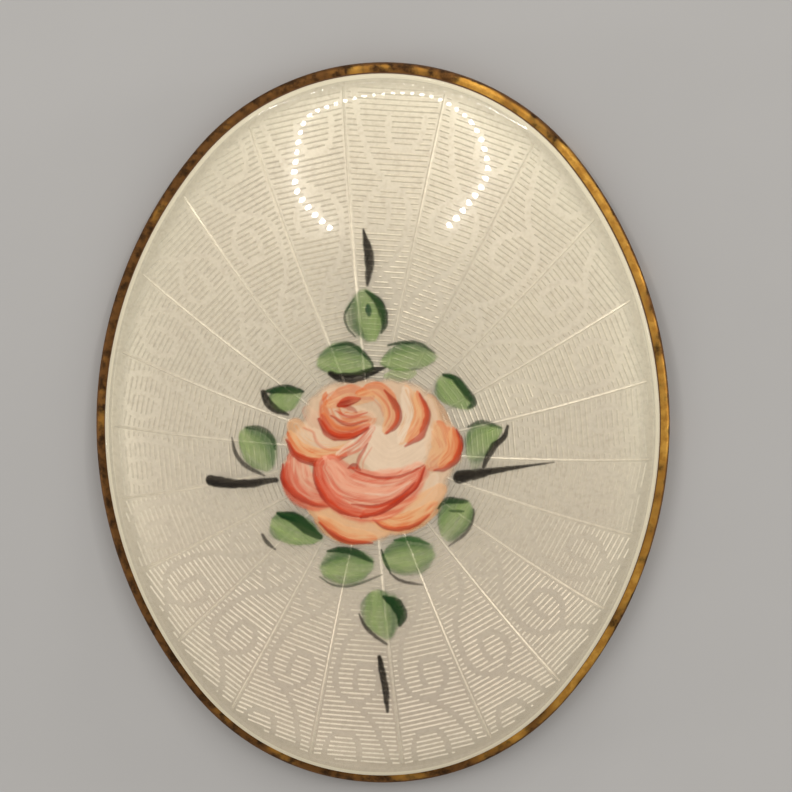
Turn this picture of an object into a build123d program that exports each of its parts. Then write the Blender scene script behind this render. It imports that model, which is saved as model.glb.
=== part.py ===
from build123d import *
import math
import os

# Oval enamel brooch, front up, lying on the bottom of its rim.
# Millimetres. The origin is the middle of the oval at the level of the rim's bottom,
# +Y runs to the top of the painted spray and +Z out of the front.

# Oval rim and stamped shell
brooch_width = 30.0
brooch_length = 38.0
wall_height = 1.4
sheet_thickness = 0.5
rim_round = 0.3
ledge_width = 0.54
shell_rise = 2.95
# Radius at the ends of the small level oval on the crown
crown_end_radius = 1.3
# The ends' arcs over an ellipse's own end radius: the four arcs then lie nearest to that ellipse
end_arc_share = 1.075

# Enamel layer on the shell
enamel_thickness = 0.5
enamel_edge_height = 0.45
enamel_foot_width = 0.3
enamel_lip_round = 0.22
seat_gap = 0.05
# Room between the shell and the enamel for the shell's engraved sunburst
relief_room = 0.1

# Painted spray, laid on the enamel
rose_radius = 4.6
rose_x = -0.35
rose_y = -1.25
paint_thickness = 0.1
petal_height = 0.06
paint_gap = 0.03

# Pin back, soldered inside the hollow of the shell
pin_y = 3.0
pin_half_length = 9.5
pin_clearance = 0.25
pin_seat_gap = 0.08
stem_radius = 0.4
stem_bite = 0.1
point_length = 1.6
hinge_length = 3.0
hinge_radius = 0.7
catch_radius = 1.25
catch_wall = 0.4
catch_width = 1.6
catch_mouth = 0.9

# The oval is drawn from four arcs: two at the ends and two longer ones at the sides
half_width = brooch_width / 2
half_length = brooch_length / 2
end_radius = end_arc_share * half_width ** 2 / half_length
end_centre_y = half_length - end_radius
side_radius = (half_width ** 2 + end_centre_y ** 2 - end_radius ** 2) / (half_width - end_radius) / 2
side_centre_x = side_radius - half_width
side_angle = math.degrees(math.atan2(end_centre_y, side_centre_x))

# Levels and widths of the section, taken along the half width from the middle
crown_flat_x = half_width - end_radius + crown_end_radius
enamel_x = half_width - ledge_width
shell_x = enamel_x - enamel_foot_width
shell_crown_z = wall_height + shell_rise
hollow_top = wall_height - sheet_thickness
bed_gap = relief_room + seat_gap
crown_height = shell_crown_z + bed_gap + enamel_thickness
enamel_floor = wall_height + seat_gap
enamel_edge_z = enamel_floor + enamel_edge_height
front_x = enamel_x - enamel_lip_round

# Painted shapes are blades: two arcs between a base and a tip, each with its own bulge.
# All columns are shares of the rose's radius, and the points are taken from its centre.
# A negative bulge bends that side inwards, which makes a crescent.
# name, base x, base y, tip x, tip y, left bulge, right bulge
PETALS = (
    ("bud", -0.59, 0.49, -0.03, 0.40, -0.04, 0.16),
    ("bud_hook", 0.03, 0.87, 0.18, 0.36, 0.18, -0.10),
    ("upper_right", 0.49, 0.84, 0.38, 0.21, 0.20, -0.02),
    ("far_right", 0.82, 0.42, 0.68, -0.07, 0.25, 0.04),
    ("upper_left", -0.97, 0.29, -0.29, 0.08, 0.10, 0.16),
    ("lower_left", -0.99, -0.03, -0.47, -0.49, -0.07, 0.17),
    ("large", -0.64, -0.01, 0.61, -0.01, -0.12, 0.60),
    ("lower_right", 0.01, -0.62, 0.73, -0.42, 0.07, 0.18),
    ("bottom", -0.55, -0.66, 0.14, -0.90, 0.07, 0.14),
)
LEAVES = (
    ("top", 0.00, 1.36, -0.13, 1.97, 0.22, 0.22),
    ("upper_left", 0.01, 1.14, -0.60, 1.17, 0.16, 0.16),
    ("upper_right", 0.12, 1.21, 0.70, 1.21, 0.14, 0.13),
    ("north_west", -0.79, 0.68, -1.21, 0.78, 0.13, 0.11),
    ("west", -1.14, -0.08, -1.38, 0.37, 0.21, 0.21),
    ("south_west", -1.14, -0.86, -0.53, -0.75, 0.21, 0.13),
    ("south_left", 0.05, -1.21, -0.53, -1.16, 0.21, 0.18),
    ("south_right", 0.16, -1.12, 0.72, -1.01, 0.18, 0.20),
    ("bottom", 0.08, -1.43, 0.21, -2.01, 0.24, 0.22),
    ("south_east", 0.86, -0.37, 0.95, -0.91, 0.24, 0.18),
    ("east", 1.05, 0.10, 1.49, 0.45, 0.17, 0.15),
    ("north_east", 0.77, 1.01, 1.12, 0.66, 0.10, 0.22),
)
DASHES = (
    ("top", -0.06, 2.02, -0.13, 2.60, 0.05, 0.06),
    ("left", -1.05, -0.21, -1.84, -0.25, 0.08, 0.07),
    ("right", 1.04, -0.11, 2.03, 0.03, 0.05, 0.07),
    ("bottom", 0.12, -2.21, 0.21, -2.89, 0.04, 0.04),
)
# Half axes of the rose's ground, as shares of its radius
ROSE_GROUND_X = 0.88
ROSE_GROUND_Y = 0.86


# Radius of the shoulder arc that falls from a level crown to an edge
def shoulder_radius(edge_x, fall):
    return ((edge_x - crown_flat_x) ** 2 + fall ** 2) / (2 * fall)


# A shoulder's height at a distance along the half width
def shoulder_height(x, radius, crown_z):
    run = max(0, x - crown_flat_x)
    return crown_z - radius + math.sqrt(radius ** 2 - run ** 2)


# How far out a shoulder comes down to a level
def shoulder_reach(radius, crown_z, level):
    return crown_flat_x + math.sqrt(radius ** 2 - (level - crown_z + radius) ** 2)


# A section's upper line: level crown, then the shoulder arc out to an edge
def crown_line(inner_x, edge_x, radius, crown_z):
    half_way = (crown_flat_x + edge_x) / 2
    return Line((inner_x, crown_z), (crown_flat_x, crown_z)) + ThreePointArc(
        (crown_flat_x, crown_z),
        (half_way, shoulder_height(half_way, radius, crown_z)),
        (edge_x, shoulder_height(edge_x, radius, crown_z)),
    )


# A quarter round between a flat top and an upright side
def round_corner(side_x, top_z, radius):
    inset = radius * (1 - math.sqrt(0.5))
    start = (side_x - radius, top_z)
    return ThreePointArc(start, (side_x - inset, top_z - inset), (side_x, top_z - radius))


# One arc of the oval: the section turned about that arc's centre
def oval_arc(outline, shift, centre, start_angle, sweep):
    face = Plane.XZ * Pos(shift, 0) * make_face(outline)
    return Pos(*centre) * Rot(0, 0, start_angle) * revolve(face, Axis.Z, sweep)


# Carries a section round the whole oval; section(inner_x) draws it out from inner_x
def around_oval(section):
    side = section(0)
    end = section(half_width - end_radius)
    end_shift = end_radius - half_width
    end_sweep = 180 - 2 * side_angle
    solid = oval_arc(side, side_centre_x, (-side_centre_x, 0), -side_angle, 2 * side_angle)
    solid += oval_arc(side, side_centre_x, (side_centre_x, 0), 180 - side_angle, 2 * side_angle)
    solid += oval_arc(end, end_shift, (0, end_centre_y), side_angle, end_sweep)
    return solid + oval_arc(end, end_shift, (0, -end_centre_y), 180 + side_angle, end_sweep)


# Direction out of the oval at (x, y), and the distance along the half width that it stands for
def oval_place(x, y):
    nearest = Vector(math.copysign(side_centre_x, -x), 0)
    radius = side_radius
    if abs(y) - end_centre_y > abs(x) * end_centre_y / side_centre_x:
        nearest = Vector(0, math.copysign(end_centre_y, y))
        radius = end_radius
    outward = Vector(x, y) - nearest
    return outward.normalized(), outward.length + half_width - radius


# The plane that touches a shoulder above (x, y), moved up by lift
def touching_plane(x, y, radius, crown_z, lift):
    outward, along = oval_place(x, y)
    height = shoulder_height(along, radius, crown_z)
    slope = -max(0, along - crown_flat_x) / (height - crown_z + radius)
    steep = outward * slope
    return Plane((x, y, height + lift), x_dir=(1, 0, steep.X), z_dir=(-steep.X, -steep.Y, 1))


# A flat outline of two arcs between a base and a tip, placed from the rose's centre
def blade(base_x, base_y, tip_x, tip_y, left_bulge, right_bulge):
    base = Vector(rose_x, rose_y) + Vector(base_x, base_y) * rose_radius
    tip = Vector(rose_x, rose_y) + Vector(tip_x, tip_y) * rose_radius
    middle = (base + tip) * 0.5
    left = Vector(base.Y - tip.Y, tip.X - base.X).normalized() * rose_radius
    outline = ThreePointArc(base, middle + left * left_bulge, tip)
    outline += ThreePointArc(tip, middle - left * right_bulge, base)
    return make_face(outline)


# What lies over a flat outline and under the enamel's front when that is raised by lift
def under_front(outline, lift):
    return extrude(outline, 2 * crown_height) & (Pos(0, 0, lift) * front_mould)


# An even layer of paint on the enamel's front
def paint(outline):
    return under_front(outline, paint_gap + paint_thickness) - Pos(0, 0, paint_gap) * front_mould


# Stamped shell: rim wall, rounded edge, ledge and dome, with a hollow back of the same sheet
shell_radius = shoulder_radius(shell_x, shell_rise)
hollow_radius = shell_radius - sheet_thickness
hollow_crown_z = shell_crown_z - sheet_thickness


def shell_section(inner_x):
    hollow_x = shoulder_reach(hollow_radius, hollow_crown_z, hollow_top)
    outline = crown_line(inner_x, shell_x, shell_radius, shell_crown_z)
    outline += Line((shell_x, wall_height), (half_width - rim_round, wall_height))
    outline += round_corner(half_width, wall_height, rim_round)
    outline += Polyline(
        (half_width, wall_height - rim_round),
        (half_width, 0),
        (half_width - sheet_thickness, 0),
        (half_width - sheet_thickness, hollow_top),
        (hollow_x, hollow_top),
    )
    outline += crown_line(inner_x, hollow_x, hollow_radius, hollow_crown_z)
    return outline + Line((inner_x, hollow_crown_z), (inner_x, shell_crown_z))


back_plate = around_oval(shell_section)

# Enamel layer: a smooth front with a rounded lip, resting by its foot on the ledge
front_radius = shoulder_radius(front_x, crown_height - enamel_edge_z)
bed_radius = shell_radius + bed_gap
bed_crown_z = shell_crown_z + bed_gap


def enamel_section(inner_x):
    foot_x = shoulder_reach(bed_radius, bed_crown_z, enamel_floor)
    outline = crown_line(inner_x, front_x, front_radius, crown_height)
    outline += round_corner(enamel_x, enamel_edge_z, enamel_lip_round)
    outline += Polyline(
        (enamel_x, enamel_edge_z - enamel_lip_round),
        (enamel_x, enamel_floor),
        (foot_x, enamel_floor),
    )
    outline += crown_line(inner_x, foot_x, bed_radius, bed_crown_z)
    return outline + Line((inner_x, bed_crown_z), (inner_x, crown_height))


enamel = around_oval(enamel_section)


# The enamel's front over a solid base, which gives the paint its underside
def mould_section(inner_x):
    outline = crown_line(inner_x, front_x, front_radius, crown_height)
    return outline + Polyline((front_x, enamel_edge_z), (front_x, 0), (inner_x, 0), (inner_x, crown_height))


front_mould = around_oval(mould_section)

# Rose: an oval ground with every petal's outline, and the petals again as a raised step
petals = Sketch() + [blade(*row) for name, *row in PETALS]
ground = Pos(rose_x, rose_y) * Ellipse(ROSE_GROUND_X * rose_radius, ROSE_GROUND_Y * rose_radius)
rose = under_front(ground + petals, paint_gap + paint_thickness)
rose += under_front(petals, paint_gap + paint_thickness + petal_height)
rose -= Pos(0, 0, paint_gap) * front_mould

# Pin back: hinge, stem and catch in one piece, each post cut to the slope of the shell's inside
catch_z = pin_clearance + catch_radius
stem_z = catch_z - (catch_radius - catch_wall - stem_radius) - stem_bite
catch_x = pin_half_length - catch_width / 2
across = Rot(0, 90, 0)
upward = (Align.CENTER, Align.CENTER, Align.MIN)


# A post from a height up to the inside of the shell
def post(x, size_x, size_y, low_z):
    block = Pos(x, pin_y, low_z) * Box(size_x, size_y, crown_height, align=upward)
    roof = touching_plane(x, pin_y, hollow_radius, hollow_crown_z, -pin_seat_gap)
    return split(block, bisect_by=roof, keep=Keep.BOTTOM)


stem_start = Pos(-pin_half_length, pin_y, stem_z)
stem_length = catch_x + pin_half_length
stem = stem_start * across * Cylinder(stem_radius, stem_length, align=upward)
point_start = Pos(catch_x, pin_y, stem_z)
stem += point_start * across * Cone(stem_radius, stem_radius / 5, point_length, align=upward)
hinge = stem_start * Rot(90, 0, 0) * Cylinder(hinge_radius, hinge_length)
hinge += post(-pin_half_length, 2 * hinge_radius, hinge_length, stem_z)
bore = Cylinder(catch_radius - catch_wall, catch_width)
catch = Pos(catch_x, pin_y, catch_z) * across * (Cylinder(catch_radius, catch_width) - bore)
catch -= Pos(catch_x, pin_y, catch_z) * Box(
    2 * catch_width, catch_radius, catch_mouth, align=(Align.CENTER, Align.MAX, Align.CENTER)
)
catch += post(catch_x, catch_width, catch_radius, catch_z + catch_radius - catch_wall)
pin_back = stem + hinge + catch

nodes = {"back_plate": back_plate, "enamel": enamel, "rose": rose, "pin_back": pin_back}
for name, *row in LEAVES:
    nodes["leaf_" + name] = paint(blade(*row))
for name, *row in DASHES:
    nodes["dash_" + name] = paint(blade(*row))

os.makedirs("parts", exist_ok=True)
for name, solid in nodes.items():
    print(name, "solids", len(solid.solids()), "volume", round(solid.volume, 3))
    export_step(solid, f"parts/{name}.step")
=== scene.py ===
# %% [markdown]
# # An oval brooch: enamel over an engraved sunburst
#
# The real brooch is a stamped brass shell. A machine engraved its front with 22 rays, fine lines
# between them and plain scrolls. A layer of milky glass was melted over that, a rose was painted on
# the glass, and everything was fired again. The metal that shows round the edge is worn gilt.
# This lesson makes those layers in the same order, each as a mesh of its own, so that light really
# passes through the glass and falls on the engraving.

# %% Load the fixed frame
import math

import bmesh
import bpy
import numpy as np
from mathutils import Matrix, Vector


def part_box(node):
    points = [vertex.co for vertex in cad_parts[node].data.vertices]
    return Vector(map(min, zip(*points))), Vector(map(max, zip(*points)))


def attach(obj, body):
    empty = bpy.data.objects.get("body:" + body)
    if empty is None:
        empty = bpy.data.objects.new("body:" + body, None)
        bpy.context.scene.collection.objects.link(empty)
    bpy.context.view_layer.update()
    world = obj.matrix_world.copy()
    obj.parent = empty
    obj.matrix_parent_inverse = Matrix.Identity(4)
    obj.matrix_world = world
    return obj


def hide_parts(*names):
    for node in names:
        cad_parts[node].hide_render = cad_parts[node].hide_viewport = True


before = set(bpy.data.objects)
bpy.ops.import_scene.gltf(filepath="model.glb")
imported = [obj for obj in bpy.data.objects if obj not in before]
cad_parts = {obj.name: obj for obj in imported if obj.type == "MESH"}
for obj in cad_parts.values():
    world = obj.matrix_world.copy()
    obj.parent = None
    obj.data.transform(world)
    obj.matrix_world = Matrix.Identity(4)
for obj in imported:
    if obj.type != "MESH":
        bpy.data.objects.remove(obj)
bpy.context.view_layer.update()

print("nodes:", len(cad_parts))

# %% [markdown]
# ## Sizes
#
# Sizes are in millimetres, because the piece is small and the numbers stay easy to read. Each mesh
# is turned into metres when it is finished. The large sizes are read from the frame, and only those
# that a box can't tell are named here. SHEET is the brass, FOOT_WIDTH is how far the glass stands out
# over the edge of the engraved dome, and SEAT_GAP and ENGRAVING_ROOM are the gap below the glass.

# %% Sizes of the shell and the glass
MM = 0.001
shell_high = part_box("back_plate")[1] / MM
glass_low, glass_high = (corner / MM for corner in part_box("enamel"))

SHEET = 0.5
RIM_ROUND = 0.3
FOOT_WIDTH = 0.3
EDGE_HEIGHT = 0.45
LIP_ROUND = 0.22
SEAT_GAP = 0.05
ENGRAVING_ROOM = 0.1
CROWN_END_RADIUS = 1.3
END_ARC_SHARE = 1.075

half_width, half_length, shell_crown = shell_high
glass_x = glass_high.x
glass_crown = glass_high.z
glass_floor = glass_low.z
ledge_z = glass_floor - SEAT_GAP
shell_x = glass_x - FOOT_WIDTH
front_x = glass_x - LIP_ROUND
glass_edge_z = glass_floor + EDGE_HEIGHT
bed_gap = ENGRAVING_ROOM + SEAT_GAP
print("half width", round(half_width, 2), "half length", round(half_length, 2))
print("the glass rises to", round(glass_crown, 2))

# %% [markdown]
# ## The oval
#
# Jewellers draw such an oval from four arcs, two at the ends and two longer ones at the sides. A
# section is then turned about each arc's centre, so it stays the same all the way round. `oval_place`
# tells where any point lies on that section: `along` is the distance from the middle, measured as on
# the half width.

# %% The four arcs
end_radius = END_ARC_SHARE * half_width ** 2 / half_length
end_centre_y = half_length - end_radius
side_radius = (half_width ** 2 + end_centre_y ** 2 - end_radius ** 2) / (half_width - end_radius) / 2
side_centre_x = side_radius - half_width
side_angle = math.atan2(end_centre_y, side_centre_x)
crown_flat = half_width - end_radius + CROWN_END_RADIUS


def oval_place(x, y):
    """Distance along the section, and the level direction in which the section lies."""
    at_end = np.abs(y) - end_centre_y > np.abs(x) * end_centre_y / side_centre_x
    from_x = np.where(at_end, x, x + np.sign(x) * side_centre_x)
    from_y = np.where(at_end, y - np.sign(y) * end_centre_y, y)
    reach = np.hypot(from_x, from_y)
    along = reach + half_width - np.where(at_end, end_radius, side_radius)
    return along, from_x / reach, from_y / reach


def rim_columns(count):
    """Centre, direction and radius for columns spread evenly round the oval."""
    arcs = (
        (-side_centre_x, 0, side_radius, -side_angle, side_angle),
        (0, end_centre_y, end_radius, side_angle, math.pi - side_angle),
        (side_centre_x, 0, side_radius, math.pi - side_angle, math.pi + side_angle),
        (0, -end_centre_y, end_radius, math.pi + side_angle, 2 * math.pi - side_angle),
    )
    whole = sum(radius * (stop - start) for _, _, radius, start, stop in arcs)
    columns = []
    for centre_x, centre_y, radius, start, stop in arcs:
        share = round(count * radius * (stop - start) / whole)
        for angle in np.linspace(start, stop, share, endpoint=False):
            columns.append((centre_x, centre_y, math.cos(angle), math.sin(angle), radius))
    return np.array(columns)


print("end radius", round(end_radius, 2), "side radius", round(side_radius, 2))

# %% [markdown]
# Shell and glass are domes that are level in the middle and then fall away in an arc. Three numbers
# tell such a dome: where the arc starts, its radius and the height of the crown.

# %% Domes
def dome_radius(edge_x, fall):
    """The radius of an arc that starts level at crown_flat and has fallen this much at edge_x."""
    return ((edge_x - crown_flat) ** 2 + fall ** 2) / (2 * fall)


def dome_height(along, radius, crown):
    """The height of a dome at a distance along the section."""
    run = np.clip(along - crown_flat, 0, None)
    return crown - radius + np.sqrt(radius ** 2 - run ** 2)


def dome_reach(radius, crown, level):
    """How far out a dome has come down to a level."""
    return crown_flat + math.sqrt(radius ** 2 - (level - crown + radius) ** 2)


shell_dome = dome_radius(shell_x, shell_crown - ledge_z)
front_dome = dome_radius(front_x, glass_crown - glass_edge_z)
bed_dome = shell_dome + bed_gap
print("dome radii", round(shell_dome, 2), round(front_dome, 2))

# %% [markdown]
# ## Turning a section round the oval
#
# The shell and the glass are both one section carried round the oval. Blender's Spin or Screw would
# give a circle, so the rings are worked out here. The section is listed from the middle of the top,
# over the rim, to the middle of the underside, and a point closes each end, so the mesh is shut.
# Edges sharper than 25 degrees keep their crease, and the rest is shaded smooth.

# %% A mesh from a section
CREASE = math.radians(25)
COLUMNS = 288
ROUND_STEPS = 7


def make_mesh(name, points, faces):
    """A mesh in metres from points in millimetres."""
    mesh = bpy.data.meshes.new(name)
    mesh.from_pydata((np.asarray(points) * MM).tolist(), [], faces)
    mesh.update()
    return mesh


def make_piece(name, mesh, *materials):
    """An object in the scene; its faces name their material by number."""
    piece = bpy.data.objects.new(name, mesh)
    bpy.context.scene.collection.objects.link(piece)
    for material in materials:
        mesh.materials.append(material)
    return piece


def around_oval(name, section):
    """section holds (along, height) from the top's middle to the underside's middle."""
    place = rim_columns(COLUMNS)
    count = len(place)
    points = [(0, 0, section[0][1])]
    for along, height in section:
        reach = place[:, 4] + along - half_width
        ring_x = place[:, 0] + place[:, 2] * reach
        ring_y = place[:, 1] + place[:, 3] * reach
        points += zip(ring_x, ring_y, np.full(count, height))
    points.append((0, 0, section[-1][1]))
    last = len(points) - 1
    faces = []
    for i in range(count):
        j = (i + 1) % count
        faces.append((0, 1 + i, 1 + j))
        for ring in range(len(section) - 1):
            start = 1 + ring * count
            faces.append((start + i, start + count + i, start + count + j, start + j))
        start = last - count
        faces.append((start + i, last, start + j))
    mesh = make_mesh(name, points, faces)
    mesh.shade_smooth()
    mesh.set_sharp_from_angle(angle=CREASE)
    return mesh


def arc_points(start_x, stop_x, radius, crown, steps):
    """Points of a section over a dome."""
    return [(x, float(dome_height(x, radius, crown))) for x in np.linspace(start_x, stop_x, steps)]


def round_points(side_x, top_z, radius):
    """Points of a section round a corner, from its top to its side."""
    turns = np.linspace(math.pi / 2, 0, ROUND_STEPS)
    centre_x, centre_z = side_x - radius, top_z - radius
    return [(centre_x + radius * math.cos(turn), centre_z + radius * math.sin(turn)) for turn in turns]


# %% [markdown]
# ## Node trees as sums
#
# A shader or a Geometry Nodes tree is easier to read as an expression than as a picture. `Value`
# wraps one socket, so `1 - mask * 0.5` adds its Math nodes by itself. Every other node goes through
# `Bench.add`, which takes the node's type, its settings and its inputs.

# %% The bench
class Value:
    """One output socket that can stand in a sum."""

    def __init__(self, bench, socket):
        self.bench = bench
        self.socket = socket

    def out(self, name):
        return Value(self.bench, self.socket.node.outputs[name])

    def __add__(self, other):
        return self.bench.math("ADD", self, other)

    def __radd__(self, other):
        return self.bench.math("ADD", other, self)

    def __sub__(self, other):
        return self.bench.math("SUBTRACT", self, other)

    def __rsub__(self, other):
        return self.bench.math("SUBTRACT", other, self)

    def __mul__(self, other):
        return self.bench.math("MULTIPLY", self, other)

    def __rmul__(self, other):
        return self.bench.math("MULTIPLY", other, self)

    def __truediv__(self, other):
        return self.bench.math("DIVIDE", self, other)

    def __lt__(self, other):
        return self.bench.math("LESS_THAN", self, other)

    def __gt__(self, other):
        return self.bench.math("GREATER_THAN", self, other)


class Bench:
    """A node tree that is being built."""

    def __init__(self, tree):
        self.tree = tree

    def add(self, kind, settings=None, inputs=None, output=0):
        node = self.tree.nodes.new(kind)
        for name, setting in (settings or {}).items():
            setattr(node, name, setting)
        for name, given in (inputs or {}).items():
            several = given if isinstance(given, list) else [given]
            for one in several:
                if isinstance(one, Value):
                    self.tree.links.new(one.socket, node.inputs[name])
                else:
                    node.inputs[name].default_value = one
        return Value(self, node.outputs[output]) if node.outputs else node

    def math(self, operation, *values):
        return self.add("ShaderNodeMath", {"operation": operation}, dict(enumerate(values)))

    def vector(self, operation, *values):
        return self.add("ShaderNodeVectorMath", {"operation": operation}, dict(enumerate(values)))

    def split(self, vector):
        """The three parts of a vector."""
        parts = self.add("ShaderNodeSeparateXYZ", inputs={"Vector": vector})
        return parts, parts.out("Y"), parts.out("Z")

    def join(self, x, y, z):
        return self.add("ShaderNodeCombineXYZ", inputs={"X": x, "Y": y, "Z": z})

    def step(self, value, low, high):
        """0 below low, 1 above high, smooth between."""
        inputs = {"Value": value, "From Min": low, "From Max": high}
        return self.add("ShaderNodeMapRange", {"interpolation_type": "SMOOTHSTEP"}, inputs)

    def blend(self, share, first, second):
        """A colour between two colours."""
        settings = {"data_type": "RGBA", "clamp_factor": True}
        return self.add("ShaderNodeMix", settings, {0: share, 6: first, 7: second}, 2)


def srgb(red, green, blue):
    """A colour as a picture shows it, 0 to 255, in the linear numbers that shaders use."""
    parts = (value / 255 for value in (red, green, blue))
    return tuple(p / 12.92 if p <= 0.04045 else ((p + 0.055) / 1.055) ** 2.4 for p in parts) + (1.0,)


# %% [markdown]
# ## Finishes
#
# Every finish is a Principled shader. What changes over a surface is worked out from Object
# coordinates, because each piece sits at the origin and so a pattern never slides.

# %% Start a material
def new_material(name, **constants):
    """A material with its Principled shader; constants are set on the shader's own sockets."""
    material = bpy.data.materials.new(name)
    material.use_nodes = True
    bench = Bench(material.node_tree)
    shader = material.node_tree.nodes["Principled BSDF"]
    for socket, constant in constants.items():
        shader.inputs[socket.replace("_", " ")].default_value = constant
    return material, bench, shader


def drive(bench, shader, **values):
    """Links what changes over the surface to the shader."""
    for socket, value in values.items():
        bench.tree.links.new(value.socket, shader.inputs[socket.replace("_", " ")])


def object_mm(bench):
    """Object coordinates in millimetres."""
    place = bench.add("ShaderNodeTexCoord", output="Object")
    return bench.vector("MULTIPLY", place, (1 / MM,) * 3)


def noise(bench, place, scale, detail=3.0, roughness=0.5):
    inputs = {"Vector": place, "Scale": scale, "Detail": detail, "Roughness": roughness}
    return bench.add("ShaderNodeTexNoise", inputs=inputs)


# %% [markdown]
# The brass was gilt once. Where fingers rubbed it, it is bright, and elsewhere it is brown with
# tarnish. Large patches of noise with small specks in them make the tarnish. The slope outside the
# ledge is made browner as painted shade, and one side of the brooch is kept brighter.

# %% Worn gilt brass
PATCHES_PER_MM = 0.45
SPECKS_PER_MM = 2.0
BRIGHT_FROM, BRIGHT_TO = -8.0, 16.0


def worn_brass(name, bright_side):
    """Gilt that is brighter brass on one side and brown with tarnish elsewhere; the slope outside the ledge
    is browned as painted shade.
    """
    material, bench, shader = new_material(name, Metallic=1.0)
    place = object_mm(bench)
    x, y, z = bench.split(place)
    patches = noise(bench, place, PATCHES_PER_MM, 2.0, 0.5)
    specks = noise(bench, place, SPECKS_PER_MM, 3.0, 0.6)
    side = bench.step(x * bright_side[0] + y * bright_side[1], BRIGHT_FROM, BRIGHT_TO)
    # Painted shade: the slope outside the ledge, which lies in shadow, is pushed towards brown.
    slope = bench.step(z, ledge_z - 0.02, ledge_z - 0.2)
    tarnish_and_shade = bench.step(patches + specks * 0.35 + slope * 0.28 - side * 0.34, 0.34, 0.6)
    gold = bench.blend(bench.step(specks, 0.35, 0.65), srgb(172, 124, 54), srgb(206, 158, 74))
    brown = bench.blend(bench.step(specks, 0.4, 0.7), srgb(112, 78, 44), srgb(62, 44, 28))
    drive(bench, shader, Base_Color=bench.blend(tarnish_and_shade, gold, brown))
    drive(bench, shader, Roughness=0.48 + tarnish_and_shade * 0.16)
    bump = bench.add("ShaderNodeBump", inputs={"Strength": 0.6, "Distance": 0.00006, "Height": specks})
    drive(bench, shader, Normal=bump)
    return material


gilt_brass = worn_brass("worn_gilt_brass", (1.0, 0.12))
pin_brass = worn_brass("pin_brass", (0.3, 0.1))
# Painted shade: a dark brown finish for the crease where the glass meets the ledge.
old_polish = new_material("old_polish", Base_Color=srgb(92, 62, 38), Roughness=0.8)[0]
print("brass finishes:", gilt_brass.name, pin_brass.name, old_polish.name)


# %% [markdown]
# The glass keeps the air off the metal below it, so the engraved ground stays pale. Its colour is
# painted darker and pinker towards the bottom, a painted shade for light that comes from the top,
# with faint clouds and a fine grain. The ridges get a finish of their own: about the ground's colour at
# the top and painted lighter towards the bottom, as a painted highlight.

# %% Engraved metal under the glass
def engraved_metal(name, upper, lower, stain):
    """Pale metal with one colour at the top and another at the bottom as painted light, and a third in the
    clouds.
    """
    material, bench, shader = new_material(name, Metallic=0.9)
    place = object_mm(bench)
    x, y, z = bench.split(place)
    cloud = noise(bench, place, 0.3, 1.0)
    # Painted light: the change from the top colour to the bottom colour stands in for light from the top.
    low = bench.step(y, 4.0, -17.0)
    grain = bench.step(noise(bench, place, 3.5, 2.0, 0.7), 0.42, 0.72)
    pale = bench.blend(cloud * 0.5, bench.blend(low, upper, lower), stain)
    drive(bench, shader, Base_Color=bench.blend(grain * 0.45, pale, srgb(186, 172, 152)))
    drive(bench, shader, Roughness=0.42 + cloud * 0.1)
    return material


# The ground is painted darker at the bottom as shade, and the ridges lighter at the bottom as a highlight.
ground_metal = engraved_metal(
    "engraved_ground", srgb(234, 227, 208), srgb(212, 195, 178), srgb(206, 196, 178)
)
ridge_metal = engraved_metal(
    "engraved_ridges", srgb(230, 223, 204), srgb(240, 228, 210), srgb(224, 217, 198)
)


# %% [markdown]
# The glass is milky and hard. Real refraction through so thin a layer would be slow and would hardly
# show, so the milk is an alpha below 1 and the shine is a strong clear coat. The rounded lip is seen
# edge on, through much more glass, so it is nearly solid, and it shines less than the front. One dark
# speck sits in the glass at the lower right.

# %% Milky glass
GLASS_BODY = 0.33
LIP_BODY = 0.8
SPECK = (12.0, -7.7, 2.37)
SPECK_SIZE = 0.09


def milky_glass(name, body_share, shine, edge_colour):
    """A thin layer shows the metal through its alpha; the lip is seen edge on and hides it."""
    material, bench, shader = new_material(
        name, Alpha=body_share, Coat_Weight=shine, Coat_Roughness=0.03, Coat_IOR=2.0, IOR=1.5
    )
    place = object_mm(bench)
    x, y, z = bench.split(place)
    along_glass = bench.math("SQRT", x * x / half_width ** 2 + y * y / half_length ** 2)
    edge = bench.step(along_glass, 0.75, 0.97)
    cloud = noise(bench, place, 0.2, 1.0)
    body = bench.blend(cloud, srgb(240, 232, 214), srgb(230, 222, 208))
    speck = bench.vector("DISTANCE", place, SPECK).out("Value") < SPECK_SIZE
    body = bench.blend(speck, bench.blend(edge, body, edge_colour), srgb(30, 24, 18))
    drive(bench, shader, Base_Color=body)
    drive(bench, shader, Roughness=0.1 + 0.45 * (1 - shine) + cloud * 0.08)
    return material


ivory_glass = milky_glass("milky_glass", GLASS_BODY, 1.0, srgb(246, 242, 222))
glass_lip = milky_glass("milky_glass_lip", LIP_BODY, 0.1, srgb(222, 215, 192))
glass_bed = new_material("glass_underside", Alpha=0.04, Roughness=1.0, IOR=1.0)[0]


# %% [markdown]
# The paint is powdered glass that was fired on. It is duller than the glass round it, and a fine
# noise gives it the tooth that a brush leaves.

# %% Fired paint
def fired_paint(name, roughness):
    """Colour and cover come from the paint attribute, which the brush below fills in."""
    material, bench, shader = new_material(
        name, Coat_Weight=0.05, Coat_Roughness=0.1, Specular_IOR_Level=0.1
    )
    paint = bench.add("ShaderNodeAttribute", {"attribute_name": "paint"}, output="Color")
    drive(bench, shader, Base_Color=paint, Alpha=paint.out("Alpha"))
    hairs = noise(bench, object_mm(bench), 7.0, 1.0)
    drive(bench, shader, Roughness=roughness + hairs * 0.15)
    bump = bench.add("ShaderNodeBump", inputs={"Strength": 0.2, "Distance": 0.00002, "Height": hairs})
    drive(bench, shader, Normal=bump)
    return material


rose_paint = fired_paint("rose_paint", 0.28)
leaf_paint = fired_paint("leaf_paint", 0.28)
dark_paint = fired_paint("dark_paint", 0.38)
print("materials:", len(bpy.data.materials))
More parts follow.
